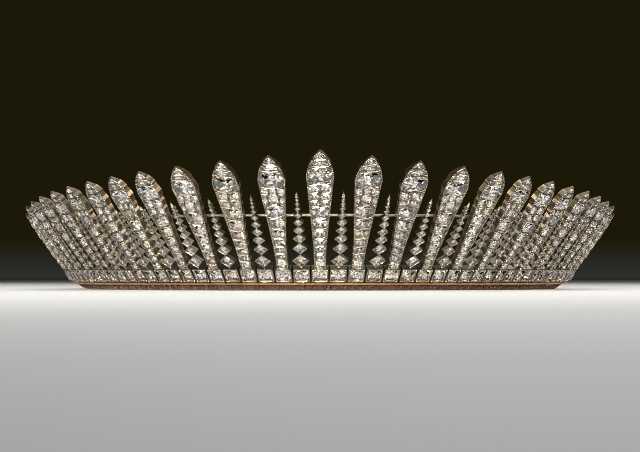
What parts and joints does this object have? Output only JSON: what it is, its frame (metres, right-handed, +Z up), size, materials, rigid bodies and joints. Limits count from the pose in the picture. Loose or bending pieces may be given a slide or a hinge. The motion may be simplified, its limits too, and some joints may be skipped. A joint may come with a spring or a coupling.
{
  "type": "closed-circle diamond fringe diadem",
  "caption": "Closed-circle diadem: graduated diamond bars and narrow spikes over a row of square diamonds, on a gold frame with a velvet roll and a clasped rear band.",
  "frame": {"origin": "middle of the head opening, level with the velvet roll's underside", "axes": "+Z up, -Y to the front of the diadem, +X to the right in the front view"},
  "size_m": [0.2122, 0.2251, 0.0454],
  "materials": {
    "gold_frame": "polished gold",
    "brown_velvet": "brown velvet, wound over padding",
    "silver_bars": "polished silver",
    "silver_spikes": "polished silver",
    "silver_rear": "polished silver",
    "base_stones": "cut diamond",
    "bar_stones": "cut diamond",
    "spike_stones": "cut diamond",
    "silver_wire": "polished silver",
    "gold_pins": "polished gold",
    "gold_left_strip": "polished gold",
    "gold_right_strip": "polished gold"
  },
  "bodies": {
    "diadem": {"frame": "gold_frame", "velvet_roll": "brown_velvet", "fringe_bars": "silver_bars", "fringe_spikes": "silver_spikes", "rear_settings": "silver_rear", "base_diamonds": "base_stones", "bar_diamonds": "bar_stones", "spike_diamonds": "spike_stones", "gallery_wire": "silver_wire", "hinge_pins": "gold_pins"},
    "left_band": {"left_rear_strip": "gold_left_strip"},
    "right_band": {"right_rear_strip": "gold_right_strip"}
  },
  "joints": [
    {"name": "left_hinge", "type": "hinge", "parent": "diadem", "child": "left_band", "pos_m": [-0.05796, 0.07464, 0.005], "axis": [0, 0, -1], "range_deg": [0, 30]},
    {"name": "right_hinge", "type": "hinge", "parent": "diadem", "child": "right_band", "pos_m": [0.05796, 0.07464, 0.005], "axis": [0, 0, -1], "range_deg": [0, 60]}
  ]
}
